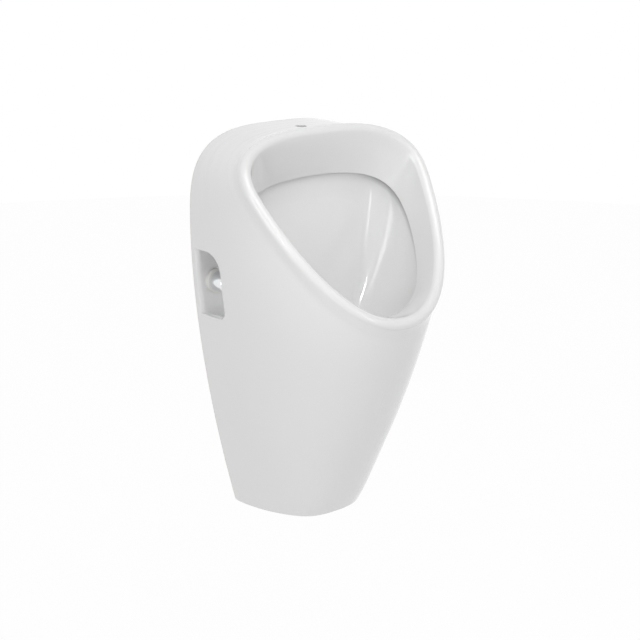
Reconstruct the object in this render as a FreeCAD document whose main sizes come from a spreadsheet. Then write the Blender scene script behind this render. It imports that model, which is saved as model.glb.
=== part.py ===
import FreeCAD, Part
import math
import os
import re

import Sketcher
from FreeCAD import Placement, Rotation, Vector

# Wall hung urinal, in millimetres: +Z up, the front towards -Y, the wall face at Y = 0.
# The origin is midway between the two wall fixings. In the sheet a "height" is measured up
# from the lower edge of the ceramic and a "reach" forward from the wall face.
doc = FreeCAD.newDocument("WallUrinal")
sheet = doc.addObject("Spreadsheet::Sheet", "Sizes")

SIZES = [
    # ceramic shell: outline on the wall
    ("body_height", 620), ("fixing_height", 385),
    ("base_half_width", 95.4), ("rear_half_width", 175.5), ("rear_corner_height", 472),
    ("side_taper", 1.72), ("rear_corner_shape", 3.3),
    # ceramic shell: reach of the front and the shape of a level section
    ("base_reach", 150), ("full_reach", 339), ("full_reach_height", 548), ("front_taper", 1.51),
    ("section_shape", 2.6), ("section_shape_drop", 0.46), ("section_drop_height", 300),
    # rim: plane leaning back from the vertical, and the rolled edge on it
    ("rim_lean", 36.28), ("rim_top_height", 615.9), ("rim_top_reach", 95.9),
    ("rim_half_width", 212), ("rim_corner_height", 526), ("rim_corner_shape", 2.7),
    ("roll_radius", 9.1), ("roll_inset", 4.4), ("roll_crest", 0.3), ("roll_flare", 24),
    # band behind the rim, its lip and the bowl
    ("lip_set", 55), ("lip_half_width", 158), ("lip_top_height", 541.5), ("lip_foot_height", 336.6),
    ("lip_edge", 2), ("lip_trim", 0.2), ("undercut", 8),
    ("bowl_lean", 4), ("bowl_top_height", 556), ("bowl_half_width", 150),
    ("bowl_foot_height", 222), ("bowl_corner", 42),
    ("wall", 12), ("bowl_wall", 11), ("band_wall", 18), ("flange_thick", 15),
    ("rib_place", 97), ("rib_thick", 10), ("rib_foot_height", 330),
    # water inlet in the deck, and the flush chamber below it
    ("inlet_reach", 59.6), ("inlet_bore", 9),
    ("chamber_half_width", 72), ("chamber_back", 36), ("chamber_front", 76),
    ("chamber_floor", 552), ("chamber_top", 600), ("chamber_corner", 5), ("chamber_wall", 14),
    ("slot_back", 70), ("slot_front", 79), ("slot_foot", 545), ("slot_half_width", 60),
    # side openings that give access to the fixings
    ("notch_top_height", 441), ("notch_foot_height", 336), ("notch_reach", 74),
    ("notch_corner", 30), ("notch_foot_corner", 14), ("notch_edge", 8),
    # opening in the back, and the drain
    ("window_foot_half_width", 58), ("window_half_width", 96), ("window_side_height", 250),
    ("window_top_height", 505), ("window_corner", 25),
    ("drain_reach", 116), ("drain_seat", 232), ("drain_boss", 50), ("drain_boss_foot", 216),
    ("drain_bore", 23), ("sump_radius", 31), ("sump_depth", 4), ("sump_taper", 3.7), ("sump_rise", 76),
    # wall fixings: stud, collar, washer, nut and cap on each side
    ("fixing_half_spacing", 140), ("fixing_bore", 7), ("stud_radius", 4), ("stud_shank", 3.6),
    ("stud_in_wall", 22), ("stud_end", 40), ("stud_chamfer", 0.8),
    ("collar_radius", 19.5), ("collar_thick", 7), ("collar_sleeve", 6.4), ("collar_edge", 1.5),
    ("collar_boss", 4), ("collar_gap", 0.5), ("washer_radius", 11.5), ("washer_thick", 1.6),
    ("nut_across", 13), ("nut_thick", 6.5),
    ("cap_radius", 16), ("cap_length", 27), ("cap_wall", 1.6), ("cap_edge", 4), ("cap_clearance", 0.3),
    # waste: flange with its tail, gaskets, locknut, strainer and screw
    ("tail_radius", 20), ("tail_wall", 1.6), ("tail_foot", 80), ("waste_radius", 29),
    ("waste_thick", 2.5), ("waste_edge", 0.8), ("gasket_thick", 1.5), ("seal_thick", 6), ("seal_radius", 30),
    ("locknut_across", 56), ("locknut_thick", 10), ("bridge_width", 5), ("bridge_thick", 3),
    ("bridge_drop", 16), ("bridge_boss", 4.5),
    ("strainer_radius", 26.5), ("strainer_thick", 1.5), ("strainer_rise", 2.5), ("strainer_rim", 3),
    ("strainer_spigot", 17.8), ("strainer_depth", 8), ("strainer_hole", 2.3),
    ("strainer_inner_ring", 10.5), ("strainer_outer_ring", 19.5), ("strainer_inner_holes", 8),
    ("strainer_outer_holes", 14), ("screw_radius", 2), ("screw_head", 4.5), ("screw_head_thick", 1.8),
    ("screw_slot", 1), ("screw_bore_gap", 0.3),
    # trap below the bowl, and its outlet into the wall
    ("neck_radius", 27), ("neck_top", 190), ("trap_radius", 34), ("trap_top", 166), ("trap_foot", 92),
    ("trap_wall", 2.5), ("trap_thread_radius", 32), ("trap_thread_length", 18),
    ("neck_seal_thick", 4), ("union_radius", 31), ("union_skirt", 20), ("union_lip", 4),
    ("cup_radius", 36.5), ("cup_foot", 58), ("cup_wall", 3), ("cup_overlap", 14),
    ("cup_edge", 5), ("ring_section", 2),
    ("outlet_height", 138), ("socket_radius", 25), ("socket_end", 64), ("pipe_radius", 20),
    ("pipe_wall", 1.8), ("pipe_start", 90), ("pipe_in_wall", 55), ("outlet_nut_radius", 30),
    ("outlet_nut_cover", 14), ("outlet_seal_thick", 5), ("nut_lip", 4), ("slide_gap", 0.3),
    ("sleeve_radius", 28), ("sleeve_length", 45), ("sleeve_rib", 1.5), ("sleeve_rib_pitch", 9),
    ("sleeve_flange", 36), ("sleeve_flange_thick", 4),
    # inlet: rubber seal in the deck and the spreader in the flush chamber
    ("seal_drop", 4), ("inlet_seal_lip", 11), ("inlet_seal_lip_thick", 3), ("spreader_stem", 6),
    ("spreader_bore", 4), ("spreader_head", 13), ("spreader_head_thick", 5), ("spreader_drop", 10),
    ("spreader_top_gap", 3),
]


def fill(rows):
    """Writes the sizes in the sheet as plain numbers with a name each."""
    for row, (alias, value) in enumerate(rows, start=1):
        sheet.set(f"A{row}", alias)
        sheet.set(f"B{row}", str(value))
        sheet.setAlias(f"B{row}", alias)
    doc.recompute()


fill(SIZES)


def size(alias):
    """Value of one size in the sheet."""
    return float(getattr(sheet, alias))


def point(across, reach, height):
    """Point of the model from its sideways place, its reach and its height."""
    return Vector(across, -reach, height - size("fixing_height"))


# ---------------------------------------------------------------- form of the ceramic skin

POINTS = 30
SAMPLES = 240
TAIL = 80.0
# the bowl's egg outline: how square, how top-heavy and how blunt it is
EGG_SQUARE = 0.043
EGG_LEAN = 0.136
EGG_BLUNT = 0.051
# the turn from lip to back wall: share where the corner starts, and height of the back wall
# against that of the lip
CORNER_START = 0.25
BACK_STRETCH = 1.02
NOTCH_ROWS = 4


def lean_share(reach, height):
    """0 on the wall and 1 on the plane of the rim."""
    slope = math.tan(math.radians(size("rim_lean")))
    rim_reach = size("rim_top_reach") + (size("rim_top_height") - height) * slope
    return min(max(reach / rim_reach, 0.0), 1.15)


def top_height(share):
    return size("body_height") + (size("rim_top_height") - size("body_height")) * share


def side(height, share):
    """Half width of the skin beside its own back edge."""
    full = size("rear_half_width") + (size("rim_half_width") - size("rear_half_width")) * share
    start = size("rear_corner_height") + (size("rim_corner_height") - size("rear_corner_height")) * share
    shape = size("rear_corner_shape") + (size("rim_corner_shape") - size("rear_corner_shape")) * share
    if height < start:
        return full - (full - size("base_half_width")) * (1 - height / start) ** size("side_taper")
    rise = min((height - start) / (top_height(share) - start), 1.0)
    return full * (1 - rise ** shape) ** (1 / shape)


def front(height):
    """Reach of the skin on the middle line."""
    full = size("full_reach")
    if height > size("full_reach_height"):
        return full
    gap = full - size("base_reach")
    return full - gap * (1 - height / size("full_reach_height")) ** size("front_taper")


def half_width(reach, height):
    """Half width of the skin; under the lower edge the form rounds off towards its tail."""
    shape = size("section_shape") - size("section_shape_drop") * max(height, 0) / size("section_drop_height")
    close = math.sqrt(max(1 - (min(height, 0) / TAIL) ** 2, 0))
    depth = front(height) * close
    if reach >= depth:
        return 0.0
    flat = side(height, lean_share(reach, height)) * close
    return flat * (1 - (reach / depth) ** shape) ** (1 / shape)


def bisect(inside, low, high):
    """Place between low, where inside is true, and high, where it is not."""
    for _ in range(50):
        middle = (low + high) / 2
        if inside(middle):
            low = middle
        else:
            high = middle
    return low


def evenly(points, count):
    """The same open outline with count + 1 points at even steps along it."""
    steps = [0.0]
    for before, after in zip(points, points[1:]):
        steps.append(steps[-1] + math.hypot(after[0] - before[0], after[1] - before[1]))
    spread, index = [], 0
    for number in range(count + 1):
        goal = steps[-1] * number / count
        while index < len(points) - 2 and steps[index + 1] < goal:
            index += 1
        span = steps[index + 1] - steps[index]
        share = (goal - steps[index]) / span if span else 0.0
        spread.append(tuple(a + (b - a) * share for a, b in zip(points[index], points[index + 1])))
    return spread


def grown(half, distance):
    """Half outline, from its foot to its top, moved outwards by a distance."""
    if not distance:
        return half
    mirror = [(-half[1][0], half[1][1])] + half + [(-half[-2][0], half[-2][1])]
    moved = []
    for before, here, after in zip(mirror, half, mirror[2:]):
        run_x, run_s = after[0] - before[0], after[1] - before[1]
        length = math.hypot(run_x, run_s)
        moved.append((here[0] - distance * run_s / length, here[1] + distance * run_x / length))
    moved[0] = (0.0, moved[0][1])
    moved[-1] = (0.0, moved[-1][1])
    return moved


class Plane:
    """Sloping plane: a start on the middle line and a lean back from the vertical."""

    def __init__(self, reach, height, lean):
        self.reach, self.height = reach, height
        self.sin, self.cos = math.sin(math.radians(lean)), math.cos(math.radians(lean))

    def behind(self, distance):
        plane = Plane(self.reach - distance * self.cos, self.height - distance * self.sin, 0)
        plane.sin, plane.cos = self.sin, self.cos
        return plane

    def place(self, across, down):
        return point(across, self.reach + down * self.sin, self.height - down * self.cos)

    def down_to(self, height):
        return (self.height - height) / self.cos

    def reach_at(self, height):
        return self.reach + self.down_to(height) * self.sin

    def skin(self, grow=0.0):
        """Half outline of the skin in this plane, from its foot to its top."""
        middle = self.height - 250
        low = bisect(lambda height: self.reach_at(height) < front(height), middle, -TAIL)
        if low < 0:
            low = bisect(lambda height: half_width(self.reach_at(height), height) > 0, 0.0, -TAIL)
        high = bisect(lambda height: half_width(self.reach_at(height), height) > 0, middle,
                      size("body_height") + 1)
        half = []
        for number in range(SAMPLES + 1):
            height = low + (high - low) * (1 - math.cos(math.pi * number / SAMPLES)) / 2
            wide = half_width(self.reach_at(height), height) if 0 < number < SAMPLES else 0.0
            half.append((wide, self.down_to(height)))
        return grown(evenly(half, POINTS), grow)


def egg(half_wide, foot, top):
    """Egg-shaped half outline with its broad end up."""
    half = []
    for number in range(SAMPLES + 1):
        turn = -math.pi / 2 + math.pi * number / SAMPLES
        wide = math.cos(turn) - EGG_SQUARE * math.cos(3 * turn) + EGG_LEAN * math.sin(2 * turn)
        along = (math.sin(turn) + EGG_BLUNT * math.sin(3 * turn)) / (1 - EGG_BLUNT)
        half.append((wide, foot + (top - foot) * (1 + along) / 2))
    broadest = max(wide for wide, _ in half)
    half = [(wide / broadest * half_wide, down) for wide, down in half]
    half[0], half[-1] = (0.0, half[0][1]), (0.0, half[-1][1])
    return evenly(half, POINTS)


def mixed(first, second, share):
    return [(a[0] + (b[0] - a[0]) * share, a[1] + (b[1] - a[1]) * share) for a, b in zip(first, second)]


def ring(plane, half):
    """Closed smooth wire through a half outline and its mirror image."""
    points = [plane.place(wide, down) for wide, down in half]
    points += [plane.place(-wide, down) for wide, down in reversed(half[1:-1])]
    curve = Part.BSplineCurve()
    curve.interpolate(points, PeriodicFlag=True)
    return Part.Wire([curve.toShape()])


RIM = Plane(size("rim_top_reach"), size("rim_top_height"), size("rim_lean"))


def skin_rows(grow):
    """Rings of the skin from the wall to just behind the rim."""
    last = RIM.behind(size("roll_flare"))
    last_reach = last.reach_at(size("rim_top_height"))
    for lean in (0, 5, 10, 15, 20, 25, 29.5, 33.5):
        plane = Plane(last_reach * lean / size("rim_lean"), size("rim_top_height"), lean)
        yield ring(plane, plane.skin(grow))
    yield ring(last, last.skin(grow))


def loft(wires):
    """Smooth closed solid through rings."""
    return Part.makeLoft(list(wires), True, False)


def crest_line(offset):
    """Outline of the rolled edge's middle line, moved outwards by an offset."""
    return grown(RIM.skin(), offset - size("roll_inset"))


def flare_rows():
    """Rings where the skin swells out to the rolled edge."""
    swell = size("roll_crest") + size("roll_radius") - size("roll_inset")
    for share, part in ((0.62, 0.1), (0.32, 0.5), (0, 1)):
        plane = RIM.behind(size("roll_flare") * share)
        yield ring(plane, plane.skin(swell * part))


ROLL_TURNS = (0, 18, 36, 54, 72, 90)


def roll_rows():
    """Rings over the outer half of the rolled edge."""
    for turn in ROLL_TURNS:
        angle = math.radians(turn)
        offset = size("roll_crest") + size("roll_radius") * math.cos(angle)
        yield ring(RIM.behind(-size("roll_radius") * math.sin(angle)), crest_line(offset))


def band_lines():
    """For each spot on the crest: its place, the way inwards and the slope of the band there."""
    radius, depth = size("roll_radius"), size("lip_set") - size("lip_edge")
    crest = crest_line(-size("roll_crest"))
    inner = crest_line(-size("roll_crest") - radius)
    for spot, end, lip in zip(crest, inner, lip_line()):
        way = ((end[0] - spot[0]) / radius, (end[1] - spot[1]) / radius)
        gap = math.dist(spot, lip)
        yield spot, way, bisect(lambda turn: radius / math.cos(turn) + depth * math.tan(turn) < gap, 0, 1.2)


def mouth(depth):
    """Half outline inside the rolled edge, which turns over a round and runs straight into the band."""
    radius, half = size("roll_radius"), []
    for spot, way, slope in band_lines():
        if -depth > radius * math.sin(slope):
            inward = math.sqrt(max(radius ** 2 - depth ** 2, 0))
        else:
            inward = radius / math.cos(slope) + depth * math.tan(slope)
        half.append((spot[0] + way[0] * inward, spot[1] + way[1] * inward))
    return half


def mouth_rows():
    """Rings over the inner half of the rolled edge."""
    for turn in ROLL_TURNS:
        depth = -size("roll_radius") * math.sin(math.radians(turn))
        yield ring(RIM.behind(depth), mouth(depth))


def band_rows(grow):
    """Rings at the two ends of the band, from the rolled edge to the round of the lip."""
    yield ring(RIM, grown(mouth(0), grow))
    yield ring(RIM.behind(size("lip_set") - size("lip_edge")), lip_line(grow))


def lip_rows():
    """Rings over the round of the lip, from the foot of the band to its own plane."""
    lip, edge = lip_line(), size("lip_edge")
    for turn in (0, 22.5, 45, 67.5, 90):
        angle = math.radians(turn)
        plane = RIM.behind(size("lip_set") - edge * (1 - math.sin(angle)))
        yield ring(plane, grown(lip, edge * (1 - math.cos(angle))))


def backing_rows(grow):
    """Rings of the block behind the lip, which carries it on the outer side of the bowl."""
    lip = lip_line(grow)
    for depth in (-size("lip_edge"), grow):
        yield ring(RIM.behind(size("lip_set") + depth), lip)


# ---------------------------------------------------------------- mouth, bowl and hollow

def lip_line(grow=0.0):
    """Half outline of the lip in its own plane, which is parallel to the rim."""
    plane = RIM.behind(size("lip_set"))
    foot = plane.down_to(size("lip_foot_height"))
    top = plane.down_to(size("lip_top_height"))
    return grown(egg(size("lip_half_width"), foot, top), grow)


def bowl_solid(grow):
    """Bowl: from the plane of the lip it turns to the upright back wall, with a round corner."""
    lip_plane = RIM.behind(size("lip_set") - size("lip_trim"))
    turn = math.radians(size("rim_lean") - size("bowl_lean"))
    shift = grow / math.sin(turn)
    top_down = lip_plane.down_to(size("bowl_top_height")) - shift
    reach = lip_plane.reach + top_down * lip_plane.sin
    height = lip_plane.height - top_down * lip_plane.cos
    lip = [(wide, down - top_down) for wide, down in lip_line(grow + size("undercut"))]
    back_plane = Plane(reach, height, size("bowl_lean"))
    back_foot = back_plane.down_to(size("bowl_foot_height"))
    back_top = lip[-1][1] * BACK_STRETCH + shift * (math.cos(turn) - 1)
    back = grown(egg(size("bowl_half_width"), back_foot, back_top), grow)
    wires = []
    for share in (0, 0.2, 0.4, 0.6, 0.75, 0.87, 0.95, 1):
        plane = Plane(reach, height, size("rim_lean") - math.degrees(turn) * share)
        late = max(share - CORNER_START, 0) / (1 - CORNER_START)
        corner = size("bowl_corner") * (1 - math.sqrt(1 - late ** 2))
        wires.append(ring(plane, grown(mixed(lip, back, share), -corner)))
    return Part.makeLoft(wires, True, False)


def box(across, reach, height):
    """Box from pairs of limits."""
    corner = point(across[0], reach[1], height[0])
    return Part.makeBox(across[1] - across[0], reach[1] - reach[0], height[1] - height[0], corner)


def upright(radius, reach, low, high, top_radius=None):
    """Cylinder or cone on the middle line with an upright axis."""
    if top_radius is None:
        return Part.makeCylinder(radius, high - low, point(0, reach, low))
    return Part.makeCone(radius, top_radius, high - low, point(0, reach, low))


def rounded(solid, radius, chosen):
    """Solid with a round on the edges that the test picks."""
    return solid.makeFillet(radius, [edge for edge in solid.Edges if chosen(edge)])


def notch(sign):
    """Cut through the skin beside one fixing, with a large corner at its top front."""
    limits = sorted((sign * (size("rib_place") + size("rib_thick")), sign * size("rim_half_width")))
    solid = box(limits, (size("flange_thick"), size("notch_reach")),
                (size("notch_foot_height"), size("notch_top_height")))
    front_y = -size("notch_reach")
    middle = solid.CenterOfMass.z

    def sideways(edge, above):
        line = edge.BoundBox
        return line.XLength > 1 and abs(line.Center.y - front_y) < 0.01 and (line.Center.z > middle) == above

    solid = rounded(solid, size("notch_corner"), lambda edge: sideways(edge, True))
    return rounded(solid, size("notch_foot_corner"), lambda edge: sideways(edge, False))


def notch_round(sign):
    """Cut that rounds the edge of the back flange inside a side opening."""
    radius, rows = size("notch_edge"), []
    low, high = size("notch_foot_height"), size("notch_top_height")
    for number in range(NOTCH_ROWS + 1):
        height = low + (high - low) * number / NOTCH_ROWS
        edge = half_width(size("flange_thick"), height)

        def corner(inward, back):
            return point(sign * (edge - inward), size("flange_thick") - back, height)

        slant = radius * (1 - math.sqrt(0.5))
        arc = Part.Arc(corner(radius, 0), corner(slant, slant), corner(0, radius)).toShape()
        rest = Part.makePolygon([corner(0, radius), corner(-2, radius), corner(-2, -1), corner(radius, -1),
                                 corner(radius, 0)])
        rows.append(Part.Wire([arc] + rest.Edges))
    return loft(rows)


def window():
    """Opening in the back of the shell, wide above and narrow below, with round upper corners."""
    low, wide = size("window_foot_half_width"), size("window_half_width")
    side_height, top = size("window_side_height"), size("window_top_height")
    corners = [(-low, -1), (low, -1), (wide, side_height), (wide, top), (-wide, top), (-wide, side_height)]
    points = [point(across, -1, height) for across, height in corners]
    solid = Part.Face(Part.makePolygon(points + points[:1])).extrude(Vector(0, -size("flange_thick") - 2, 0))
    lower = point(0, 0, 1).z
    return rounded(solid, size("window_corner"),
                   lambda edge: edge.BoundBox.YLength > 1 and edge.BoundBox.XLength < 1
                   and edge.CenterOfMass.z > lower)


def bore(radius, across, height, start, end):
    """Cylinder along the way from the wall to the front."""
    return Part.makeCylinder(radius, end - start, point(across, start, height), Vector(0, -1, 0))


def ceramic_hollow():
    """Hollow of the casting, open below, with the bowl, band, drain boss and ribs left solid."""
    far = 2 * size("body_height")
    hollow = loft(skin_rows(-size("wall"))).common(box((-far, far), (size("flange_thick"), far), (-far, far)))
    chamber_side = size("chamber_half_width") + size("chamber_wall")
    left = [
        bowl_solid(size("bowl_wall")),
        loft(band_rows(size("band_wall"))),
        loft(backing_rows(size("band_wall"))),
        box((-chamber_side, chamber_side), (0, size("bowl_half_width")),
            (size("chamber_floor") - size("chamber_wall"), far)),
        upright(size("drain_boss"), size("drain_reach"), size("drain_boss_foot"),
                size("drain_seat") + size("sump_depth") + size("sump_rise") + size("bowl_wall")),
    ]
    for sign in (-1, 1):
        limits = sorted((sign * size("rib_place"), sign * (size("rib_place") + size("rib_thick"))))
        left.append(box(limits, (0, size("notch_reach") + size("bowl_wall") / 2),
                        (size("rib_foot_height"), size("chamber_floor"))))
    return hollow.cut(left)


def ceramic_openings():
    """Flush chamber with its slot and inlet, side openings, back opening, bores and drain."""
    half, top = size("chamber_half_width"), size("chamber_top")
    chamber = box((-half, half), (size("chamber_back"), size("chamber_front")), (size("chamber_floor"), top))
    slot_half = size("slot_half_width")
    cuts = [
        chamber.makeFillet(size("chamber_corner"), chamber.Edges),
        box((-slot_half, slot_half), (size("slot_back"), size("slot_front")),
            (size("slot_foot"), size("chamber_floor") + size("chamber_wall"))),
        upright(size("inlet_bore"), size("inlet_reach"), top - 1, size("body_height") + size("wall")),
        notch(1), notch(-1), notch_round(1), notch_round(-1), window(),
    ]
    for sign in (-1, 1):
        cuts.append(bore(size("fixing_bore"), sign * size("fixing_half_spacing"), size("fixing_height"), -1,
                         size("flange_thick") + 1))
    seat, rim = size("drain_seat"), size("drain_seat") + size("sump_depth")
    cuts.append(upright(size("drain_bore"), size("drain_reach"), size("drain_boss_foot") - 1, seat + 1))
    cuts.append(upright(size("sump_radius"), size("drain_reach"), seat, rim))
    cuts.append(upright(size("sump_radius"), size("drain_reach"), rim, rim + size("sump_rise"),
                        size("sump_radius") - size("sump_taper")))
    return cuts


def ceramic():
    """The casting: skin with rolled rim, band, bowl, hollow back and openings."""
    far = 2 * size("body_height")
    outer = loft(list(skin_rows(0)) + list(flare_rows())).fuse(loft(roll_rows()))
    shell = outer.cut([box((-far, far), (-far, far), (-far, 0)), loft(mouth_rows())])
    shell = shell.cut([loft(band_rows(0)), loft(lip_rows())])
    shell = shell.cut(bowl_solid(0))
    return shell.cut([ceramic_hollow()] + ceramic_openings())


# ---------------------------------------------------------------- pieces of the document

UP = Rotation()
FORWARD = Rotation(Vector(1, 0, 0), 90)
BACKWARD = Rotation(Vector(1, 0, 0), -90)
labels = []


def linked(text):
    """Expression with every size name turned into a reference to the sheet."""
    return re.sub(r"[a-z][a-z_]+", lambda found: "Sizes." + found.group(0), text)


def named(piece, label):
    """Gives a finished piece the name of its file."""
    piece.Label = label
    labels.append(piece.Name)
    return piece


def placed(piece, rotation, across="0", reach="0", height="fixing_height"):
    """Ties the place of a piece to the sheet; its own origin moves there."""
    piece.Placement = Placement(Vector(), rotation)
    piece.setExpression("Placement.Base.x", linked(across))
    piece.setExpression("Placement.Base.y", linked(f"-({reach})"))
    piece.setExpression("Placement.Base.z", linked(f"{height} - fixing_height"))
    return piece


def sketch_on(body, role, name):
    """Sketch on one of the origin planes of a body."""
    sketch = body.newObject("Sketcher::SketchObject", name)
    plane = next(item for item in body.Origin.OriginFeatures if item.Role == role)
    sketch.AttachmentSupport = [(plane, "")]
    sketch.MapMode = "FlatFace"
    return sketch


def tie(sketch, kind, corner, text, value):
    """Holds one coordinate of a corner: on an axis when it is zero, else at a bound distance."""
    if text == "0":
        axis = -2 if kind == "DistanceX" else -1
        sketch.addConstraint(Sketcher.Constraint("PointOnObject", corner, 1, axis))
        return
    number = sketch.addConstraint(Sketcher.Constraint(kind, -1, 1, corner, 1, value))
    sketch.setExpression(f"Constraints[{number}]", linked(text))


def worth(text):
    """Number that an expression of sizes gives now."""
    result = sheet.evalExpression(linked(text))
    return float(getattr(result, "Value", result))


def outline(body, name, corners):
    """Closed sketch of straight lines through corners given as pairs of expressions."""
    sketch = sketch_on(body, "XZ_Plane", name)
    spots = [Vector(worth(radius), worth(along), 0) for radius, along in corners]
    for start, end in zip(spots, spots[1:] + spots[:1]):
        sketch.addGeometry(Part.LineSegment(start, end))
    for corner, (radius, along) in enumerate(corners):
        before = (corner - 1) % len(corners)
        sketch.addConstraint(Sketcher.Constraint("Coincident", before, 2, corner, 1))
        if radius == along == "0":
            sketch.addConstraint(Sketcher.Constraint("Coincident", corner, 1, -1, 1))
        else:
            tie(sketch, "DistanceX", corner, radius, spots[corner].x)
            tie(sketch, "DistanceY", corner, along, spots[corner].y)
    return sketch


def turned(label, corners):
    """Body turned about its own Z axis from pairs of radius and height."""
    body = doc.addObject("PartDesign::Body", label)
    sketch = outline(body, label + "_profile", corners)
    turn = body.newObject("PartDesign::Revolution", label + "_turn")
    turn.Profile = sketch
    turn.ReferenceAxis = (sketch, ["V_Axis"])
    turn.Angle = 360
    sketch.Visibility = False
    doc.recompute()
    return body


def rounded_body(body, kind, length, chosen):
    """Adds a round or a bevel to the circular edges that a test picks."""
    base = body.Tip
    names = [f"Edge{number}" for number, edge in enumerate(base.Shape.Edges, start=1) if chosen(edge)]
    feature = body.newObject("PartDesign::" + kind, f"{body.Name}_{kind.lower()}")
    feature.Base = (base, names)
    feature.setExpression("Radius" if kind == "Fillet" else "Size", linked(length))
    body.Tip = feature
    doc.recompute()
    return body


def circle_at(radius, along):
    """Test for a whole circular edge of one radius at one height of a body in its own frame."""
    def check(edge):
        curve = edge.Curve
        return (isinstance(curve, Part.Circle) and abs(curve.Radius - worth(radius)) < 0.01
                and abs(curve.Center.z - worth(along)) < 0.01)
    return check


def primitive(kind, name, **links):
    """Part primitive whose properties are bound to expressions."""
    item = doc.addObject("Part::" + kind, name)
    for path, text in links.items():
        item.setExpression(path, linked(text))
    return item


def cut_from(name, base, tool):
    item = doc.addObject("Part::Cut", name)
    item.Base, item.Tool = base, tool
    return item


def joined(name, shapes):
    item = doc.addObject("Part::MultiFuse", name)
    item.Shapes = shapes
    return item


# ---------------------------------------------------------------- wall fixings

COLLAR_FACE = "flange_thick + collar_thick"
BOSS_FACE = COLLAR_FACE + " + collar_boss"
WASHER_FACE = BOSS_FACE + " + washer_thick"


def fixing(side_name, across):
    """Stud, collar, washer, nut and cap of one side; each points forward from the wall."""
    def put(piece, reach="0"):
        placed(piece, FORWARD, across=across, reach=reach)
        return piece

    stud = turned(f"wall_stud_{side_name}", [
        ("0", "0"), ("stud_radius", "0"), ("stud_radius", "stud_in_wall"),
        ("stud_shank", "stud_in_wall"), ("stud_shank", "stud_in_wall + stud_end"),
        ("0", "stud_in_wall + stud_end")])
    rounded_body(stud, "Chamfer", "stud_chamfer", circle_at("stud_shank", "stud_in_wall + stud_end"))
    named(put(stud, "-stud_in_wall"), f"wall_stud_{side_name}")

    collar = turned(f"fixing_collar_{side_name}", [
        ("stud_shank + collar_gap", "collar_gap"), ("collar_sleeve", "collar_gap"),
        ("collar_sleeve", "flange_thick"), ("collar_radius", "flange_thick"),
        ("collar_radius", COLLAR_FACE), ("cap_radius - cap_wall - cap_clearance", COLLAR_FACE),
        ("cap_radius - cap_wall - cap_clearance", BOSS_FACE),
        ("stud_shank + collar_gap", BOSS_FACE)])
    rounded_body(collar, "Fillet", "collar_edge", circle_at("collar_radius", COLLAR_FACE))
    named(put(collar), f"fixing_collar_{side_name}")

    washer = turned(f"fixing_washer_{side_name}", [
        ("stud_shank + collar_gap", "0"), ("washer_radius", "0"), ("washer_radius", "washer_thick"),
        ("stud_shank + collar_gap", "washer_thick")])
    named(put(washer, BOSS_FACE), f"fixing_washer_{side_name}")

    blank = primitive("Prism", f"nut_blank_{side_name}", Circumradius="nut_across / 1.7320508",
                      Height="nut_thick")
    blank.Polygon = 6
    hole = primitive("Cylinder", f"nut_hole_{side_name}", Radius="stud_shank", Height="nut_thick")
    nut = cut_from(f"fixing_nut_{side_name}", blank, hole)
    named(put(nut, WASHER_FACE), f"fixing_nut_{side_name}")

    inside = "cap_radius - cap_wall"
    cap = turned(f"fixing_cap_{side_name}", [
        (inside, "0"), ("cap_radius", "0"), ("cap_radius", "cap_length"), ("0", "cap_length"),
        ("0", "cap_length - cap_wall"), (inside, "cap_length - cap_wall")])
    rounded_body(cap, "Fillet", "cap_edge", circle_at("cap_radius", "cap_length"))
    named(put(cap, COLLAR_FACE), f"fixing_cap_{side_name}")


# ---------------------------------------------------------------- waste and strainer

WASTE_FOOT = "drain_seat + gasket_thick"
WASTE_FACE = WASTE_FOOT + " + waste_thick"
SEAL_FOOT = "drain_boss_foot - seal_thick"


def on_drain(piece, height):
    return placed(piece, UP, reach="drain_reach", height=height)


def ring_piece(label, inner, outer, thick, height):
    """Flat ring about the drain."""
    piece = turned(label, [(inner, "0"), (outer, "0"), (outer, thick), (inner, thick)])
    return named(on_drain(piece, height), label)


def waste():
    """Flange with its tail through the bowl, its gaskets and locknut, and the strainer on it."""
    ring_piece("waste_gasket", "drain_bore", "waste_radius", "gasket_thick", "drain_seat")
    ring_piece("waste_seal", "tail_radius", "seal_radius", "seal_thick", SEAL_FOOT)

    inside = "tail_radius - tail_wall"
    length = WASTE_FACE + " - tail_foot"
    tail = turned("tail_tube", [
        (inside, "0"), ("tail_radius", "0"), ("tail_radius", f"{length} - waste_thick"),
        ("waste_radius", f"{length} - waste_thick"), ("waste_radius", length), (inside, length)])
    rounded_body(tail, "Fillet", "waste_edge", circle_at("waste_radius", length))
    on_drain(tail, "tail_foot")
    bar = primitive("Box", "bridge_bar", Length=f"2 * ({inside}) + tail_wall", Width="bridge_width",
                    Height="bridge_thick")
    placed(bar, UP, across=f"-({inside}) - tail_wall / 2", reach="drain_reach + bridge_width / 2",
           height=f"{WASTE_FACE} - bridge_drop")
    boss = primitive("Cylinder", "bridge_round", Radius="bridge_boss", Height="bridge_thick")
    on_drain(boss, f"{WASTE_FACE} - bridge_drop")
    hole = primitive("Cylinder", "bridge_hole", Radius="screw_radius + screw_bore_gap",
                     Height="3 * bridge_thick")
    on_drain(hole, f"{WASTE_FACE} - bridge_drop - bridge_thick")
    whole = joined("tail_with_bridge", [tail, bar, boss])
    named(cut_from("waste_flange", whole, hole), "waste_flange")

    blank = primitive("Prism", "locknut_blank", Circumradius="locknut_across / 1.7320508",
                      Height="locknut_thick")
    blank.Polygon = 6
    thread = primitive("Cylinder", "locknut_thread", Radius="tail_radius", Height="locknut_thick")
    nut = cut_from("waste_locknut", blank, thread)
    named(on_drain(nut, f"{SEAL_FOOT} - locknut_thick"), "waste_locknut")


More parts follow.
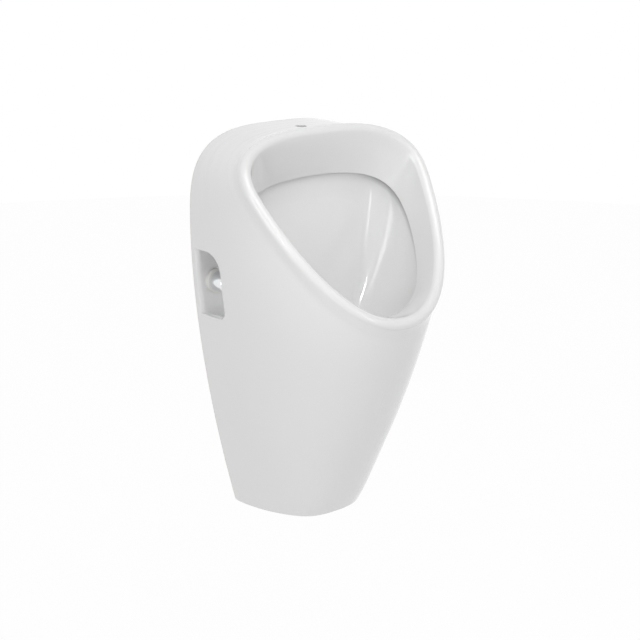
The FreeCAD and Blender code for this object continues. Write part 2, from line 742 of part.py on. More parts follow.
def strainer():
    """Shallow domed grid with a locating spigot and two rings of holes, and its screw."""
    hollow, spigot = "strainer_spigot - strainer_thick", "strainer_spigot"
    dome = "strainer_depth + strainer_rise"
    body = turned("strainer_grid", [
        (hollow, "0"), (spigot, "0"), (spigot, "strainer_depth"),
        ("strainer_radius", "strainer_depth"), ("strainer_radius", "strainer_depth + strainer_thick / 2"),
        ("strainer_radius - strainer_rim", f"{dome} + strainer_thick / 2"),
        ("screw_radius + screw_bore_gap", f"{dome} + strainer_thick"),
        ("screw_radius + screw_bore_gap", dome), (hollow, dome)])
    rings = []
    for ring_name, place, count in (("inner", "strainer_inner_ring", "strainer_inner_holes"),
                                    ("outer", "strainer_outer_ring", "strainer_outer_holes")):
        sketch = sketch_on(body, "XY_Plane", f"strainer_{ring_name}_hole")
        sketch.addGeometry(Part.Circle(Vector(size(place), 0, 0), Vector(0, 0, 1), size("strainer_hole")))
        sketch.addConstraint(Sketcher.Constraint("PointOnObject", 0, 3, -1))
        for kind, text, numbers in (("DistanceX", place, (-1, 1, 0, 3)), ("Radius", "strainer_hole", (0,))):
            number = sketch.addConstraint(Sketcher.Constraint(kind, *numbers, size(text)))
            sketch.setExpression(f"Constraints[{number}]", linked(text))
        pocket = body.newObject("PartDesign::Pocket", f"strainer_{ring_name}_pocket")
        pocket.Profile = sketch
        pocket.Type = "ThroughAll"
        pocket.Reversed = True
        sketch.Visibility = False
        doc.recompute()
        pattern = body.newObject("PartDesign::PolarPattern", f"strainer_{ring_name}_ring")
        pattern.Originals = [pocket]
        pattern.Axis = (sketch, ["N_Axis"])
        pattern.Angle = 360
        pattern.setExpression("Occurrences", linked(count))
        body.Tip = pattern
        doc.recompute()
        rings.append(pattern)
    named(on_drain(body, f"{WASTE_FACE} - strainer_depth"), "strainer_grid")

    reach_down = f"bridge_drop + {dome} + strainer_thick - strainer_depth"
    screw = turned("screw_blank", [
        ("0", "0"), ("screw_radius", "0"), ("screw_radius", reach_down), ("screw_head", reach_down),
        ("screw_head", f"{reach_down} + screw_head_thick"), ("0", f"{reach_down} + screw_head_thick")])
    slot = primitive("Box", "screw_slot_cutter", Length="2 * screw_head", Width="screw_slot",
                     Height="screw_head_thick")
    top = f"{WASTE_FACE} + {dome} - strainer_depth + strainer_thick + screw_head_thick"
    placed(slot, UP, across="-screw_head", reach="drain_reach + screw_slot / 2",
           height=f"{top} - screw_head_thick / 2")
    on_drain(screw, f"{WASTE_FACE} - bridge_drop")
    named(cut_from("strainer_screw", screw, slot), "strainer_screw")


# ---------------------------------------------------------------- trap and outlet

def trap():
    """Bottle with neck and socket, nuts and seals, the cleaning cup and the pipe into the wall."""
    foot, shoulder = "trap_foot", "trap_top - trap_wall"
    thread = "trap_thread_radius"
    bottle = turned("trap_bottle", [
        (f"{thread} - trap_wall", "0"), (thread, "0"), (thread, "trap_thread_length"),
        ("trap_radius", "trap_thread_length"), ("trap_radius", f"trap_top - {foot}"),
        ("neck_radius", f"trap_top - {foot}"), ("neck_radius", f"neck_top - {foot}"),
        ("neck_radius - trap_wall", f"neck_top - {foot}"), ("neck_radius - trap_wall", f"{shoulder} - {foot}"),
        (f"{thread} - trap_wall", f"{shoulder} - {foot}")])
    on_drain(bottle, foot)
    depth = "drain_reach - socket_end"
    socket = primitive("Cylinder", "trap_socket", Radius="socket_radius", Height=depth)
    inside = primitive("Cylinder", "trap_inside", Radius=f"{thread} - trap_wall", Height=f"{shoulder} - {foot}")
    way = primitive("Cylinder", "trap_way", Radius="pipe_radius + slide_gap", Height=depth)
    for piece in (socket, way):
        placed(piece, BACKWARD, reach="drain_reach", height="outlet_height")
    on_drain(inside, foot)
    shell = joined("trap_with_socket", [bottle, socket])
    named(cut_from("trap_open", shell, joined("trap_space", [inside, way])), "trap_body")

    ring_piece("neck_seal", "tail_radius", "neck_radius - trap_wall / 2", "neck_seal_thick", "neck_top")
    union_top = "neck_seal_thick + union_lip"
    union = turned("union_nut", [
        ("neck_radius", "0"), ("union_radius", "0"), ("union_radius", f"union_skirt + {union_top}"),
        ("tail_radius + slide_gap", f"union_skirt + {union_top}"),
        ("tail_radius + slide_gap", "union_skirt + neck_seal_thick"),
        ("neck_radius", "union_skirt + neck_seal_thick")])
    rounded_body(union, "Chamfer", "trap_wall / 2", circle_at("union_radius", f"union_skirt + {union_top}"))
    named(on_drain(union, "neck_top - union_skirt"), "union_nut")

    ledge = "trap_foot - cup_foot - 2 * ring_section - slide_gap"
    rim = "trap_foot - cup_foot + cup_overlap"
    cup = turned("trap_cup", [
        ("0", "0"), ("cup_radius", "0"), ("cup_radius", rim), (f"{thread} + slide_gap", rim),
        (f"{thread} + slide_gap", ledge), (f"{thread} - trap_wall", ledge),
        (f"{thread} - trap_wall", "cup_wall"), ("0", "cup_wall")])
    rounded_body(cup, "Fillet", "cup_edge", circle_at("cup_radius", "0"))
    named(on_drain(cup, "cup_foot"), "trap_cup")
    ring = primitive("Torus", "cup_ring", Radius1=f"{thread} - ring_section + slide_gap / 2",
                     Radius2="ring_section - slide_gap / 4")
    named(on_drain(ring, "trap_foot - ring_section - slide_gap"), "cup_ring")

    def outlet(label, corners, reach):
        piece = turned(label, corners)
        return named(placed(piece, BACKWARD, reach=reach, height="outlet_height"), label)

    outlet("outlet_pipe", [
        ("pipe_radius - pipe_wall", "0"), ("pipe_radius", "0"), ("pipe_radius", "pipe_start + pipe_in_wall"),
        ("pipe_radius - pipe_wall", "pipe_start + pipe_in_wall")], "pipe_start")
    outlet("outlet_seal", [
        ("pipe_radius", "0"), ("socket_radius", "0"), ("socket_radius", "outlet_seal_thick"),
        ("pipe_radius", "outlet_seal_thick")], "socket_end")
    cover = "outlet_nut_cover + outlet_seal_thick"
    outlet("outlet_nut", [
        ("socket_radius", "0"), ("outlet_nut_radius", "0"), ("outlet_nut_radius", f"{cover} + nut_lip"),
        ("pipe_radius + slide_gap", f"{cover} + nut_lip"), ("pipe_radius + slide_gap", cover),
        ("socket_radius", cover)], "socket_end + outlet_nut_cover")
    corners = [("pipe_radius", "0"), ("sleeve_flange", "0"), ("sleeve_flange", "sleeve_flange_thick")]
    for number in range(1, 5):
        rib = f"sleeve_flange_thick + {number} * sleeve_rib_pitch"
        corners += [("sleeve_radius", f"{rib} - sleeve_rib"), ("sleeve_radius + sleeve_rib", rib),
                    ("sleeve_radius", f"{rib} + sleeve_rib")]
    corners.insert(3, ("sleeve_radius", "sleeve_flange_thick"))
    corners += [("sleeve_radius", "sleeve_flange_thick + sleeve_length"),
                ("pipe_radius", "sleeve_flange_thick + sleeve_length")]
    outlet("wall_sleeve", corners, "sleeve_flange_thick")


# ---------------------------------------------------------------- water inlet

def inlet():
    """Rubber seal in the hole of the deck, and the spreader that hangs from it in the chamber."""
    deck = lowest_deck()
    def at(piece, height):
        return placed(piece, UP, reach="inlet_reach", height=height)

    rise = f"{deck} - seal_drop - chamber_top"
    seal = turned("inlet_seal", [
        ("spreader_stem", "0"), ("inlet_seal_lip", "0"), ("inlet_seal_lip", "inlet_seal_lip_thick"),
        ("inlet_bore", "inlet_seal_lip_thick"), ("inlet_bore", f"inlet_seal_lip_thick + {rise}"),
        ("spreader_stem", f"inlet_seal_lip_thick + {rise}")])
    named(at(seal, "chamber_top - inlet_seal_lip_thick"), "inlet_seal")
    stem = f"spreader_drop + inlet_seal_lip_thick + {rise} - spreader_top_gap"
    spreader = turned("inlet_spreader", [
        ("0", "0"), ("spreader_head", "spreader_head_thick"), ("spreader_stem", "spreader_head_thick"),
        ("spreader_stem", f"spreader_head_thick + {stem}"), ("spreader_bore", f"spreader_head_thick + {stem}"),
        ("spreader_bore", "2 * spreader_head_thick"), ("0", "2 * spreader_head_thick")])
    named(at(spreader, "chamber_top - inlet_seal_lip_thick - spreader_drop - spreader_head_thick"),
          "inlet_spreader")


def lowest_deck():
    """Height of the deck at the inlet, written as an expression."""
    return "body_height + (rim_top_height - body_height) * inlet_reach / rim_top_reach"


def main():
    body = doc.addObject("Part::Feature", "ceramic_body")
    body.Shape = ceramic()
    named(body, "ceramic_body")
    for side_name, across in (("left", "-fixing_half_spacing"), ("right", "fixing_half_spacing")):
        fixing(side_name, across)
    waste()
    strainer()
    trap()
    inlet()
    doc.recompute()
    for item in doc.Objects:
        wrong = [state for state in item.State if state in ("Invalid", "Error")]
        if wrong:
            raise RuntimeError(f"{item.Label} is in state {wrong}")
    pieces = [doc.getObject(name) for name in labels]
    for piece in pieces:
        if piece.Shape.isNull() or not piece.Shape.isValid() or not piece.Shape.Solids:
            raise RuntimeError(f"{piece.Label} has no valid shape")
    os.makedirs("parts", exist_ok=True)
    for piece in pieces:
        piece.Shape.exportStep(f"parts/{piece.Label}.step")
        print(piece.Label, len(piece.Shape.Solids), round(piece.Shape.Volume))


main()
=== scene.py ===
"""Looks of a wall hung urinal, laid over its fixed model and set out as an add-on."""
import math

import bpy
from bpy.props import FloatProperty, FloatVectorProperty, IntProperty, PointerProperty
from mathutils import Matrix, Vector


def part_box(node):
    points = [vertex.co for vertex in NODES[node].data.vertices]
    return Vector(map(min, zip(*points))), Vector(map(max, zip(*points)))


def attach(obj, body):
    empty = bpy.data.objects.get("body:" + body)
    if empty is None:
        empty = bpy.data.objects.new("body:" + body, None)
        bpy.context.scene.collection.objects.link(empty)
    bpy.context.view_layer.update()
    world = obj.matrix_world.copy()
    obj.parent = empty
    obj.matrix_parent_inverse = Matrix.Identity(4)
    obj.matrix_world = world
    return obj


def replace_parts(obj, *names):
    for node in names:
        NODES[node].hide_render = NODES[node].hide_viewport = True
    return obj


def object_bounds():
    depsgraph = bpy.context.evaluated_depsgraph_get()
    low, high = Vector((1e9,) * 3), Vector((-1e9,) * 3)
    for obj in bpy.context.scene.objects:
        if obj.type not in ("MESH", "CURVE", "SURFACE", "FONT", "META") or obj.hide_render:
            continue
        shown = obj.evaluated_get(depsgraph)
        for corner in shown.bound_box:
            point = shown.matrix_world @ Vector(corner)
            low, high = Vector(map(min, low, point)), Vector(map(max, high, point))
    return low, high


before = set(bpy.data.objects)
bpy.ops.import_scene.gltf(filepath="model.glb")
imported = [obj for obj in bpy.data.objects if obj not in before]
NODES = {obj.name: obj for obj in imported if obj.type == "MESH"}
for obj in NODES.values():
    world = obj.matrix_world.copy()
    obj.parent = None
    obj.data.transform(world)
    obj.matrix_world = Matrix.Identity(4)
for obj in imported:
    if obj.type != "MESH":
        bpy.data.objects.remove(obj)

MODEL_BOX = [list(corner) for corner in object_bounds()]

bl_info = {
    "name": "Wall hung urinal",
    "version": (1, 0, 0),
    "blender": (4, 5, 0),
    "location": "3D View > Sidebar > Urinal",
    "description": "Pieces, finishes and studio of a wall hung ceramic urinal",
    "category": "Object",
}

# axes by number: towards the wall, and up
WALLWARD = 1
UPRIGHT = 2


# ---------------------------------------------------------------- settings

def colour(name, description, default):
    """Colour setting shown in the panel."""
    return FloatVectorProperty(name=name, description=description, default=default, size=3,
                               min=0.0, max=1.0, subtype="COLOR")


def length(name, description, default):
    """Length setting in metres."""
    return FloatProperty(name=name, description=description, default=default, min=0.0,
                         subtype="DISTANCE", unit="LENGTH", precision=4)


def amount(name, description, default):
    """Plain number setting."""
    return FloatProperty(name=name, description=description, default=default, min=0.0)


class UrinalFinishes(bpy.types.PropertyGroup):
    """Colours of the finishes."""
    glaze: colour("Glaze", "White glaze of the casting", (0.80, 0.80, 0.80))
    bisque: colour("Bisque", "Bare fired clay where the casting meets the wall", (0.69, 0.66, 0.60))
    chrome: colour("Chrome", "Polished plate of the caps and the strainer", (0.83, 0.84, 0.86))
    zinc: colour("Zinc", "Plated steel of studs, washers and nuts", (0.60, 0.61, 0.62))
    stainless: colour("Stainless", "Stainless steel of the waste flange", (0.58, 0.58, 0.57))
    plastic: colour("White plastic", "Moulded trap, pipe, nuts and collars", (0.77, 0.77, 0.75))
    rubber: colour("Rubber", "Seals and the wall sleeve", (0.028, 0.028, 0.030))
    brass: colour("Brass", "Water spreader", (0.63, 0.47, 0.22))


class UrinalDetails(bpy.types.PropertyGroup):
    """Sizes of grips, threads and edges."""
    thread_pitch: length("Thread pitch", "Step of the thread on the wall studs", 0.00125)
    thread_depth: length("Thread depth", "Depth of the thread on the wall studs", 0.0007)
    rod_chamfer: length("Rod chamfer", "Chamfer at the ends of the wall studs", 0.0006)
    grip_height: length("Grip height", "How far the grip ribs stand out", 0.0012)
    nut_grips: IntProperty(name="Nut grips", description="Ribs round each trap nut", default=20, min=6)
    cup_grips: IntProperty(name="Cup grips", description="Ribs round the cleaning cup", default=14, min=6)
    glaze_round: length("Glaze round", "Radius that the glaze gives to sharp edges", 0.0016)
    bare_depth: length("Bare depth", "Width of the bare clay at the wall", 0.0022)
    # painted shade: width and start of the darkening painted into the glaze in creases, as under the lip
    # of the bowl
    painted_shade_width: length("Crease width", "Width of the shade under the lip of the bowl", 0.012)
    painted_shade_start: length("Crease start", "Distance from the wall where that shade starts", 0.08)


class UrinalStudio(bpy.types.PropertyGroup):
    """Floor, light and camera."""
    floor_drop: length("Floor drop", "How far the floor lies below the casting", 0.34)
    floor_size: length("Floor size", "Width of the floor", 9.0)
    ambient: amount("Ambient", "Strength of the even light all round", 0.54)
    key: amount("Key light", "Power of the large lamp above the front, in watts", 26.0)
    side: amount("Side light", "Power of the lamp on the left, in watts", 9.0)
    strip: amount("Strip light", "Power of the narrow upright lamp in front, in watts", 2.4)
    bowl: amount("Bowl light", "Power of the narrow beam into the bowl, in watts", 105.0)
    inner: amount("Inner light", "Power of each small lamp behind a side opening, in watts", 0.19)
    beam: amount("Beam", "Width of the beam into the bowl, in degrees", 5.6)
    lens: amount("Lens", "Focal length of the camera in millimetres", 80.54)


# ---------------------------------------------------------------- material maths

class Value:
    """Number in a node tree. Python's operators on it add Math nodes."""

    def __init__(self, nodes, socket):
        self.nodes = nodes
        self.socket = socket

    def math(self, operation, *others, clamp=False):
        """Math node on this value and others."""
        values = {0: self.socket}
        for place, other in enumerate(others, start=1):
            values[place] = other.socket if isinstance(other, Value) else other
        node = self.nodes.node("ShaderNodeMath", {"operation": operation, "use_clamp": clamp}, values)
        return Value(self.nodes, node.outputs[0])

    def reflected(self, operation, other):
        """Math node with the plain number first."""
        node = self.nodes.node("ShaderNodeMath", {"operation": operation}, {0: other, 1: self.socket})
        return Value(self.nodes, node.outputs[0])

    def __add__(self, other):
        return self.math("ADD", other)

    def __radd__(self, other):
        return self.reflected("ADD", other)

    def __sub__(self, other):
        return self.math("SUBTRACT", other)

    def __rsub__(self, other):
        return self.reflected("SUBTRACT", other)

    def __mul__(self, other):
        return self.math("MULTIPLY", other)

    def __rmul__(self, other):
        return self.reflected("MULTIPLY", other)

    def clamped(self):
        """The value kept between 0 and 1."""
        return self.math("MULTIPLY", 1.0, clamp=True)


class Nodes:
    """Nodes of one tree."""

    def __init__(self, tree):
        self.tree = tree

    def node(self, kind, settings=None, values=None):
        """New node with its settings, and with numbers or links in its sockets."""
        made = self.tree.nodes.new(kind)
        for key, setting in (settings or {}).items():
            setattr(made, key, setting)
        self.feed(made, values)
        return made

    def feed(self, node, values):
        """Numbers or links for the sockets of a node."""
        for key, value in (values or {}).items():
            value = value.socket if isinstance(value, Value) else value
            if isinstance(value, bpy.types.NodeSocket):
                self.tree.links.new(value, node.inputs[key])
            else:
                node.inputs[key].default_value = value

    def seen(self, *kinds):
        """1 for rays of these kinds, else 0."""
        path = self.node("ShaderNodeLightPath").outputs
        first, *rest = (Value(self, path[f"Is {kind} Ray"]) for kind in kinds)
        return sum(rest, first).clamped()


class Finish(Nodes):
    """One procedural material around its surface shader."""

    def __init__(self, name):
        self.material = bpy.data.materials.new(name)
        self.material.use_nodes = True
        super().__init__(self.material.node_tree)
        self.shader = self.tree.nodes["Principled BSDF"]
        self.place = self.node("ShaderNodeTexCoord").outputs["Object"]

    def surface(self, **values):
        """Sockets of the surface shader, with _ for a space."""
        self.feed(self.shader, {key.replace("_", " "): value for key, value in values.items()})

    def stretched(self, scale):
        """Object coordinates stretched along the axes."""
        return self.node("ShaderNodeMapping", None, {"Vector": self.place, "Scale": scale}).outputs[0]

    def axis(self, letter):
        """One object coordinate."""
        parts = self.node("ShaderNodeSeparateXYZ", None, {0: self.place})
        return Value(self, parts.outputs[letter])

    def noise(self, scale, detail, rough=0.5, place=None):
        """Noise from 0 to 1 with features of about 1 / scale metres."""
        made = self.node("ShaderNodeTexNoise", None, {
            "Vector": place or self.place, "Scale": scale, "Detail": detail, "Roughness": rough})
        return Value(self, made.outputs[0])

    def mixed(self, share, first, second):
        """Colour between two colours."""
        made = self.node("ShaderNodeMix", {"data_type": "RGBA"}, {0: share, 6: first, 7: second})
        return made.outputs[2]

    def relief(self, height, distance, strength, onto=None):
        """Normal with a fine relief."""
        values = {"Height": height, "Distance": distance, "Strength": strength}
        if onto is not None:
            values["Normal"] = onto
        return self.node("ShaderNodeBump", None, values).outputs[0]


def tint(rgb, factor):
    """Colour with alpha, lighter or darker by a factor."""
    return (*(min(part * factor, 1.0) for part in rgb), 1.0)


# how sharply the bare clay and the painted shade in creases start, per metre
BARE_EDGE = 2500.0
PAINTED_SHADE_EDGE = 100.0


def glazed_ceramic(colours, details):
    """Gloss glaze with painted shade in its creases away from the wall, as under the lip of the bowl, and
    bare clay at the wall.
    """
    finish = Finish("glazed_ceramic")
    depth = finish.axis("Y")
    drift = finish.noise(scale=140.0, detail=4.0)
    bare = ((depth + details.bare_depth - drift * details.bare_depth) * BARE_EDGE).clamped()
    cloud = finish.noise(scale=5.0, detail=2.0)
    glaze = finish.mixed(cloud, tint(colours.glaze, 0.985), tint(colours.glaze, 1.01))
    # painted shade: the glaze is darkened towards 0.3 of its colour where the occlusion node finds near
    # surfaces, away from the wall
    painted_shade_probe = finish.node("ShaderNodeAmbientOcclusion", {"samples": 8}, {"Distance": details.painted_shade_width})
    painted_shade_ao = Value(finish, painted_shade_probe.outputs["AO"])
    inside = ((-details.painted_shade_start - depth) * PAINTED_SHADE_EDGE).clamped()
    glaze = finish.mixed((1.0 - painted_shade_ao * painted_shade_ao) * inside, glaze, tint(colours.glaze, 0.3))
    grain = finish.noise(scale=900.0, detail=5.0, rough=0.7)
    clay = finish.mixed(grain, tint(colours.bisque, 0.86), tint(colours.bisque, 1.08))
    wave = finish.noise(scale=34.0, detail=1.0)
    edges = finish.node("ShaderNodeBevel", {"samples": 6}, {"Radius": details.glaze_round})
    smooth = finish.relief(wave, distance=0.0009, strength=0.1, onto=edges.outputs[0])
    rough = finish.relief(grain * bare, distance=0.0004, strength=0.8, onto=smooth)
    finish.surface(Base_Color=finish.mixed(bare, glaze, clay),
                   Roughness=0.085 + 0.04 * cloud + bare * 0.55,
                   Coat_Weight=0.35 * (1.0 - bare), Coat_Roughness=0.03, Normal=rough)
    return finish.material


def plated(name, rgb, roughness, spread):
    """Bright metal plate with faint cloudiness."""
    finish = Finish(name)
    cloud = finish.noise(scale=55.0, detail=3.0)
    fine = finish.noise(scale=700.0, detail=3.0)
    finish.surface(Base_Color=finish.mixed(cloud, tint(rgb, 0.95), tint(rgb, 1.03)), Metallic=1.0,
                   Roughness=roughness + spread * (cloud * 0.6 + fine * 0.4),
                   Normal=finish.relief(fine, distance=0.00004, strength=0.5))
    return finish.material


def brushed(name, rgb, along):
    """Metal with fine lines along one axis."""
    finish = Finish(name)
    stretch = [900.0, 900.0, 900.0]
    stretch[along] = 30.0
    lines = finish.noise(scale=1.0, detail=4.0, rough=0.6, place=finish.stretched(stretch))
    cloud = finish.noise(scale=60.0, detail=2.0)
    finish.surface(Base_Color=finish.mixed(lines, tint(rgb, 0.88), tint(rgb, 1.06)), Metallic=1.0,
                   Roughness=0.2 + 0.12 * lines + 0.08 * cloud,
                   Normal=finish.relief(lines, distance=0.00005, strength=0.5))
    return finish.material


def moulded(name, rgb):
    """Satin plastic with the fine grain of its mould."""
    finish = Finish(name)
    grain = finish.noise(scale=1600.0, detail=4.0, rough=0.6)
    cloud = finish.noise(scale=30.0, detail=2.0)
    finish.surface(Base_Color=finish.mixed(cloud, tint(rgb, 0.97), tint(rgb, 1.01)),
                   Roughness=0.32 + 0.1 * grain + 0.06 * cloud,
                   Normal=finish.relief(grain, distance=0.00005, strength=0.6))
    return finish.material


def rubbery(name, rgb):
    """Dull rubber, greyer where it has rubbed."""
    finish = Finish(name)
    grain = finish.noise(scale=1100.0, detail=4.0, rough=0.65)
    worn = finish.noise(scale=45.0, detail=3.0)
    finish.surface(Base_Color=finish.mixed(worn, tint(rgb, 0.8), tint(rgb, 1.9)),
                   Roughness=0.62 + 0.2 * grain,
                   Normal=finish.relief(grain, distance=0.0001, strength=0.7))
    return finish.material


# ---------------------------------------------------------------- shaping

def nothing_selected():
    """Object mode with no object selected."""
    if bpy.context.object and bpy.context.object.mode != "OBJECT":
        bpy.ops.object.mode_set(mode="OBJECT")
    bpy.ops.object.select_all(action="DESELECT")


def painted(material, *names):
    """One finish on model nodes, which keep their shape."""
    for name in names:
        slots = NODES[name].data.materials
        slots.clear()
        slots.append(material)


def finished(name, material, body):
    """The active object as a named piece of a body, with its place in its mesh."""
    piece = bpy.context.object
    bpy.ops.object.transform_apply(location=True, rotation=True, scale=True)
    piece.name = name
    piece.data.name = name
    piece.data.materials.clear()
    piece.data.materials.append(material)
    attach(piece, body)
    return piece


def modified(kind, **settings):
    """A modifier put on the active object and applied."""
    made = bpy.context.object.modifiers.new(kind.lower(), kind)
    for key, setting in settings.items():
        setattr(made, key, setting)
    bpy.ops.object.modifier_apply(modifier=made.name)


# share of the ring that the ribs take, share of their height that is rounded, and the
# angle in degrees below which their edges are smooth
RIB_SHARE = 0.42
RIB_ROUND = 0.85
RIB_SMOOTH = 40


def grips(name, material, body, node, along, count, height, ends):
    """Ring of rounded ribs on the outside of a round node, between two shares of its length."""
    low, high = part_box(node)
    middle = (low + high) / 2
    across = (along + 1) % 3
    radius = (high[across] - low[across]) / 2
    start, stop = (low[along] + (high[along] - low[along]) * share for share in ends)
    step = 2 * math.pi / count
    spot = middle.copy()
    spot[along] = (start + stop) / 2
    spot[across] += radius
    span = [step * radius * RIB_SHARE] * 3
    span[along] = stop - start
    span[across] = 2 * height
    nothing_selected()
    bpy.ops.mesh.primitive_cube_add(size=1.0, location=spot, scale=span)
    bpy.ops.object.transform_apply(location=True, rotation=True, scale=True)
    modified("BEVEL", width=height * RIB_ROUND, segments=3, limit_method="ANGLE")
    bpy.ops.object.mode_set(mode="EDIT")
    bpy.ops.mesh.select_all(action="SELECT")
    for _ in range(count - 1):
        bpy.ops.mesh.duplicate()
        bpy.ops.transform.rotate(value=step, orient_axis="XYZ"[along], center_override=middle)
    bpy.ops.object.mode_set(mode="OBJECT")
    bpy.ops.object.shade_smooth_by_angle(angle=math.radians(RIB_SMOOTH))
    return finished(name, material, body)


# share of the thread's depth that its ridge fills, steps of one turn, sides of the core,
# pitches left plain at its two ends, distance in metres at which points merge, and the
# angle in degrees below which its edges are smooth
RIDGE_SHARE = 0.9
TURN_STEPS = 20
CORE_SIDES = 32
PLAIN_ENDS = (1.0, 1.5)
MERGE_DISTANCE = 0.00001
THREAD_SMOOTH = 35


def thread(name, material, body, node, details):
    """Threaded rod in place of a plain stud: a core, and a ridge that winds round it."""
    low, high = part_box(node)
    middle = (low + high) / 2
    radius = (high.x - low.x) / 2
    pitch, depth = details.thread_pitch, details.thread_depth
    start, stop = low.y + PLAIN_ENDS[0] * pitch, high.y - PLAIN_ENDS[1] * pitch
    ridge_radius = depth * RIDGE_SHARE
    nothing_selected()
    bpy.ops.mesh.primitive_circle_add(vertices=3, radius=ridge_radius, fill_type="NGON",
                                      location=(middle.x + radius - ridge_radius, start, middle.z),
                                      rotation=(0, 0, -math.pi / 2))
    bpy.ops.object.transform_apply(location=False, rotation=True, scale=True)
    ridge = bpy.context.object
    bpy.context.scene.cursor.location = (middle.x, start, middle.z)
    bpy.ops.object.origin_set(type="ORIGIN_CURSOR")
    bpy.context.scene.cursor.location = (0, 0, 0)
    modified("SCREW", axis="Y", screw_offset=pitch, iterations=int((stop - start) / pitch),
             steps=TURN_STEPS, render_steps=TURN_STEPS, use_normal_calculate=True)
    nothing_selected()
    bpy.ops.mesh.primitive_cylinder_add(vertices=CORE_SIDES, radius=radius - depth, depth=high.y - low.y,
                                        location=middle, rotation=(math.pi / 2, 0, 0))
    bpy.ops.object.transform_apply(location=False, rotation=True, scale=True)
    modified("BEVEL", width=details.rod_chamfer, segments=2, limit_method="ANGLE")
    core = bpy.context.object
    ridge.select_set(True)
    bpy.context.view_layer.objects.active = core
    bpy.ops.object.join()
    bpy.ops.object.mode_set(mode="EDIT")
    bpy.ops.mesh.select_all(action="SELECT")
    bpy.ops.mesh.remove_doubles(threshold=MERGE_DISTANCE)
    bpy.ops.mesh.normals_make_consistent(inside=False)
    bpy.ops.object.mode_set(mode="OBJECT")
    bpy.ops.object.shade_smooth_by_angle(angle=math.radians(THREAD_SMOOTH))
    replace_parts(finished(name, material, body), node)


# ---------------------------------------------------------------- operators

class URINAL_OT_ceramic(bpy.types.Operator):
    """Glaze on the casting"""
    bl_idname = "urinal.ceramic"
    bl_label = "Ceramic"

    def execute(self, context):
        scene = context.scene
        painted(glazed_ceramic(scene.urinal_finishes, scene.urinal_details), "ceramic_body")
        return {"FINISHED"}


class URINAL_OT_fixings(bpy.types.Operator):
    """Studs, collars, washers, nuts and chrome caps"""
    bl_idname = "urinal.fixings"
    bl_label = "Fixings"

    def execute(self, context):
        colours = context.scene.urinal_finishes
        zinc = plated("zinc_plate", colours.zinc, roughness=0.26, spread=0.14)
        chrome = plated("chrome_plate", colours.chrome, roughness=0.05, spread=0.05)
        collar = moulded("collar_plastic", colours.plastic)
        details = context.scene.urinal_details
        for side in ("left", "right"):
            painted(zinc, f"wall_stud_{side}", f"fixing_washer_{side}", f"fixing_nut_{side}")
            thread(f"stud_thread_{side}", zinc, "urinal", f"wall_stud_{side}", details)
            painted(chrome, f"fixing_cap_{side}")
            painted(collar, f"fixing_collar_{side}")
        return {"FINISHED"}


class URINAL_OT_waste(bpy.types.Operator):
    """Waste flange, gaskets, locknut and strainer"""
    bl_idname = "urinal.waste"
    bl_label = "Waste and strainer"

    def execute(self, context):
        colours = context.scene.urinal_finishes
        painted(brushed("waste_steel", colours.stainless, UPRIGHT), "waste_flange", "strainer_screw")
        painted(plated("strainer_chrome", colours.chrome, roughness=0.08, spread=0.07), "strainer_grid")
        painted(rubbery("waste_rubber", colours.rubber), "waste_gasket", "waste_seal")
        painted(moulded("locknut_plastic", colours.plastic), "waste_locknut")
        return {"FINISHED"}


class URINAL_OT_trap(bpy.types.Operator):
    """Bottle trap with its nuts, cup and seals"""
    bl_idname = "urinal.trap"
    bl_label = "Trap"

    def execute(self, context):
        colours = context.scene.urinal_finishes
        details = context.scene.urinal_details
        plastic = moulded("trap_plastic", colours.plastic)
        rubber = rubbery("trap_rubber", colours.rubber)
        painted(plastic, "trap_body", "union_nut", "trap_cup", "outlet_nut", "outlet_pipe")
        painted(rubber, "neck_seal", "cup_ring", "outlet_seal", "wall_sleeve")
        for name, node, body, along, count, ends in (
                ("union_grips", "union_nut", "urinal", UPRIGHT, details.nut_grips, (0.08, 0.84)),
                ("outlet_grips", "outlet_nut", "urinal", WALLWARD, details.nut_grips, (0.14, 0.92)),
                ("cup_grips", "trap_cup", "cleaning_cup", UPRIGHT, details.cup_grips, (0.3, 0.94))):
            grips(name, plastic, body, node, along, count, details.grip_height, ends)
        return {"FINISHED"}


class URINAL_OT_inlet(bpy.types.Operator):
    """Inlet seal and water spreader"""
    bl_idname = "urinal.inlet"
    bl_label = "Inlet"

    def execute(self, context):
        colours = context.scene.urinal_finishes
        painted(rubbery("inlet_rubber", colours.rubber), "inlet_seal")
        painted(brushed("spreader_brass", colours.brass, UPRIGHT), "inlet_spreader")
        return {"FINISHED"}


# area lamps: place, width and height in metres, and the setting with the power
AREA_LAMPS = {
    "key_lamp": ((-0.5, -1.5, 2.2), (2.2, 1.6), "key"),
    "side_lamp": ((-2.15, -0.75, 0.35), (0.9, 1.4), "side"),
    "strip_lamp": ((0.12, -2.3, -0.1), (0.1, 1.1), "strip"),
}
LAMP_AIM = (0, -0.15, -0.05)
BEAM_PLACE = (-1.1, -1.5, 0.75)
BEAM_AIM = (0.07, -0.12, 0.06)
BEAM_RADIUS = 0.16
# small lamps in the hollow, one at each side
INNER_PLACE = (0.125, -0.085, -0.01)
INNER_RADIUS = 0.012
CAMERA_PLACE = (-1.4813, -1.7316, 0.5428)
CAMERA_AIM = (-0.0231, -0.1290, -0.0633)
SENSOR_WIDTH = 36.0
# share of plain white in what the camera sees of the floor; the rest keeps the shadow
FLOOR_WHITE = 0.97
WHITE = (1.0, 1.0, 1.0, 1.0)
FLOOR_GREY = (0.86, 0.86, 0.86, 1.0)


def aimed(thing, target):
    """Turns a lamp or a camera towards a point."""
    thing.rotation_euler = (Vector(target) - thing.location).to_track_quat("-Z", "Y").to_euler()


def lamp(kind, name, place, power):
    """New lamp with its power in watts."""
    nothing_selected()
    bpy.ops.object.light_add(type=kind, location=place)
    made = bpy.context.object
    made.name = name
    made.data.energy = power
    return made


